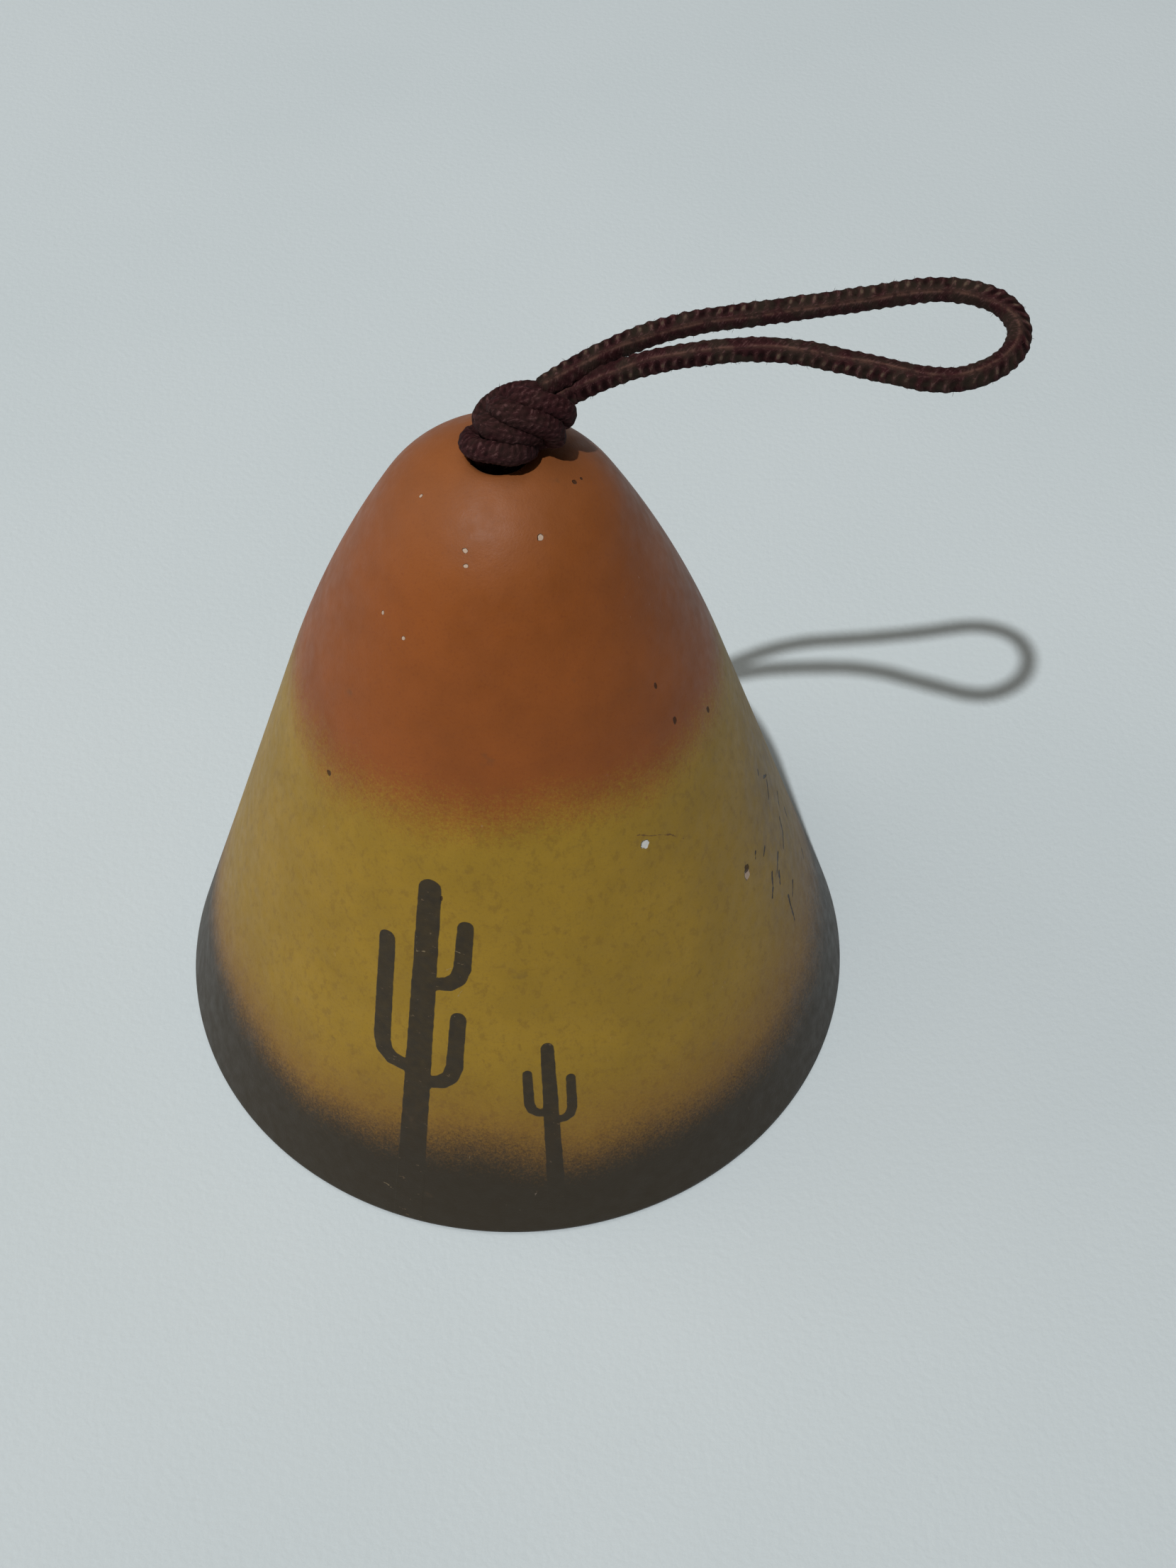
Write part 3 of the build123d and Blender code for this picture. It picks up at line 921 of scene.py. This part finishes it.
def braided_cord(name, olive):
    """The plait's finish: maroon yarn, gone olive in patches by that share, with painted shade in its
    grooves and painted highlights on fibres, stitch tops and edge.
    """
    material, n, shader = new_material(name)

    def value(name, output="Fac"):
        return n.add("ShaderNodeAttribute", attribute_name=name).outputs[output]

    relief, ridge, peg = value("relief"), value("ridge"), value("peg")
    split = n.add("ShaderNodeSeparateXYZ", {"Vector": value("braid", "Vector")}).outputs
    run, around, number = split["X"], split["Y"], split["Z"]
    slanted = n.plus(run, n.times(around, 0.7))
    crossed = n.minus(around, n.times(run, 0.7))
    fibres = n.noise(n.combine(slanted, n.times(crossed, 0.22), number), 3.6, 3.0, 0.65)
    place = n.object_coords()
    dye = n.noise(place, 260, 3.0, 0.6)
    dust = n.noise(place, 2300, 3.0, 0.7)

    # Painted shade: the yarn is darkened where the relief is low, in the grooves between stitches.
    colour = n.mix(n.step(relief, -0.7, 0.5), YARN_GROOVE_SHADE, YARN_TOP)
    colour = n.mix(n.times(n.step(dye, 0.42, 0.60), olive), colour, YARN_OLIVE)
    lit = n.times(n.step(fibres, 0.50, 0.64), n.step(relief, -0.3, 0.5))
    colour = n.mix(n.times(lit, 0.7), colour, YARN_LIT)
    # Painted highlight: the tops of the stitches are lighter, patchy with the dust noise.
    stitch_highlight = n.times(n.step(peg, 0.5, 1.0), n.remap(dust, 0.35, 0.65, 0.25, 1.0))
    colour = n.mix(stitch_highlight, colour, YARN_STITCH_HIGHLIGHT)
    # Painted highlight along each strand's smooth edge, in mottled patches.
    patchy = n.remap(dye, 0.35, 0.65, 0.45, 1.0)
    mottle = n.times(n.step(n.noise(place, 900, 3.0, 0.6), 0.36, 0.6), patchy)
    colour = n.mix(n.times(n.step(ridge, 0.25, 0.9), mottle), colour, YARN_EDGE_HIGHLIGHT)
    lint = n.step(dust, 0.69, 0.76)
    colour = n.mix(n.times(lint, 0.5), colour, LINT)
    n.put(shader.inputs["Base Color"], colour)
    n.put(shader.inputs["Roughness"], n.remap(fibres, 0.3, 0.7, 0.72, 0.92))
    shader.inputs["Specular IOR Level"].default_value = 0.08
    shader.inputs["Sheen Weight"].default_value = 0.02
    shader.inputs["Sheen Roughness"].default_value = 0.4
    shader.inputs["Sheen Tint"].default_value = SHEEN_TINT
    height = n.plus(n.times(fibres, 0.10), n.times(dust, 0.05))
    use_bump(n, shader, height, MM)
    return material


def bare_ceramic():
    material, n, shader = new_material("bare_ceramic")
    place = n.object_coords()
    height = n.add("ShaderNodeSeparateXYZ", {"Vector": place}).outputs["Z"]
    cloud = n.noise(place, 130, 4.0, 0.6)
    rings = n.noise(n.combine(0.0, 0.0, height), 1500, 2.0, 0.6)
    grog = n.cells(place, 1400)
    fine = n.noise(place, 2600, 3.0, 0.65)
    colour = n.mix(n.step(cloud, 0.32, 0.68), CLAY_DEEP, CLAY)
    colour = n.mix(n.times(n.step(grog, 0.22, 0.12), 0.6), colour, CLAY_GROG)
    colour = n.mix(n.times(n.step(fine, 0.6, 0.72), 0.35), colour, CLAY_FLECK)
    rub = n.times(n.step(n.noise(place, 75, 3.0), 0.54, 0.66), 0.3)
    colour = n.mix(rub, colour, CLAY_RUBBED)
    n.put(shader.inputs["Base Color"], colour)
    n.put(shader.inputs["Roughness"], n.remap(fine, 0.3, 0.7, 0.74, 0.94))
    shader.inputs["Specular IOR Level"].default_value = 0.25
    bumps = n.plus(n.times(fine, 0.05), n.times(rings, 0.05))
    bumps = n.minus(bumps, n.times(n.step(grog, 0.2, 0.1), 0.05))
    use_bump(n, shader, bumps, MM)
    return material


# --- floor and light ------------------------------------------------------------------------
FLOOR_HALF = 2.0
FLOOR_DIM = (0.655, 0.725, 0.75)
FLOOR_PALE = (0.69, 0.755, 0.78)
LIGHT_FROM = Vector((-0.226, -0.453, 1.0))      # the sun's direction from the bell
SUN_POWER = 1.93
SUN_WIDTH = 1.1                      # degrees
SUN_COLOUR = (0.975, 0.99, 1.0)
FILL_COLOUR = (1.0, 0.965, 0.90)
SKY_POWER = 0.055
PANELS = (                           # name, place, size, power
    ("overhead", (-0.08, -0.02, 0.62), 0.3, 0.6),
    ("window", (-1.0, 0.2, 0.45), 0.8, 2.0),
)
PANELS_AIM = Vector((0, 0, 0.05))


def make_floor():
    mesh = bpy.data.meshes.new("floor")
    corners = [(-1, -1), (1, -1), (1, 1), (-1, 1)]
    mesh.from_pydata([(x * FLOOR_HALF, y * FLOOR_HALF, 0) for x, y in corners], [], [(0, 1, 2, 3)])
    floor = add_object("floor", mesh)
    floor.location.z = CAD_BOX[0].z
    material, n, shader = new_material("floor_paper")
    place = n.object_coords()
    tone = n.remap(n.noise(place, 9, 3.0), 0.3, 0.7, 0.0, 1.0)
    n.put(shader.inputs["Base Color"], n.mix(tone, FLOOR_DIM, FLOOR_PALE))
    shader.inputs["Roughness"].default_value = 0.85
    shader.inputs["Specular IOR Level"].default_value = 0.2
    use_bump(n, shader, n.noise(place, 900, 3.0), 0.1 * MM)
    mesh.materials.append(material)


def make_light():
    sun = bpy.data.lights.new("key", "SUN")
    sun.energy = SUN_POWER
    sun.angle = math.radians(SUN_WIDTH)
    sun.color = SUN_COLOUR
    key = add_object("key", sun)
    key.rotation_euler = LIGHT_FROM.to_track_quat("Z", "Y").to_euler()
    for name, place, size, power in PANELS:
        panel = bpy.data.lights.new(name, "AREA")
        panel.energy = power
        panel.size = size
        panel.color = FILL_COLOUR
        lamp = add_object(name, panel)
        lamp.location = place
        lamp.rotation_euler = (lamp.location - PANELS_AIM).to_track_quat("Z", "Y").to_euler()
    world = bpy.data.worlds.new("world")
    world.use_nodes = True
    sky = world.node_tree.nodes["Background"].inputs
    sky["Color"].default_value = (*FILL_COLOUR, 1.0)
    sky["Strength"].default_value = SKY_POWER
    bpy.context.scene.world = world
    bpy.context.scene.view_settings.view_transform = "Standard"


def give(node, material):
    thing = bpy.data.objects[node]
    thing.data.materials.clear()
    thing.data.materials.append(material)


cord_finish = braided_cord("braided_cord", 0.55)
knot_finish = braided_cord("braided_cord_knots", 0.2)
for cord_piece in CORD_PIECES:
    cord_piece.data.materials.append(knot_finish if "knot" in cord_piece.name else cord_finish)
make_shell().data.materials.append(painted_ceramic())
give("clapper", bare_ceramic())
make_floor()
make_light()
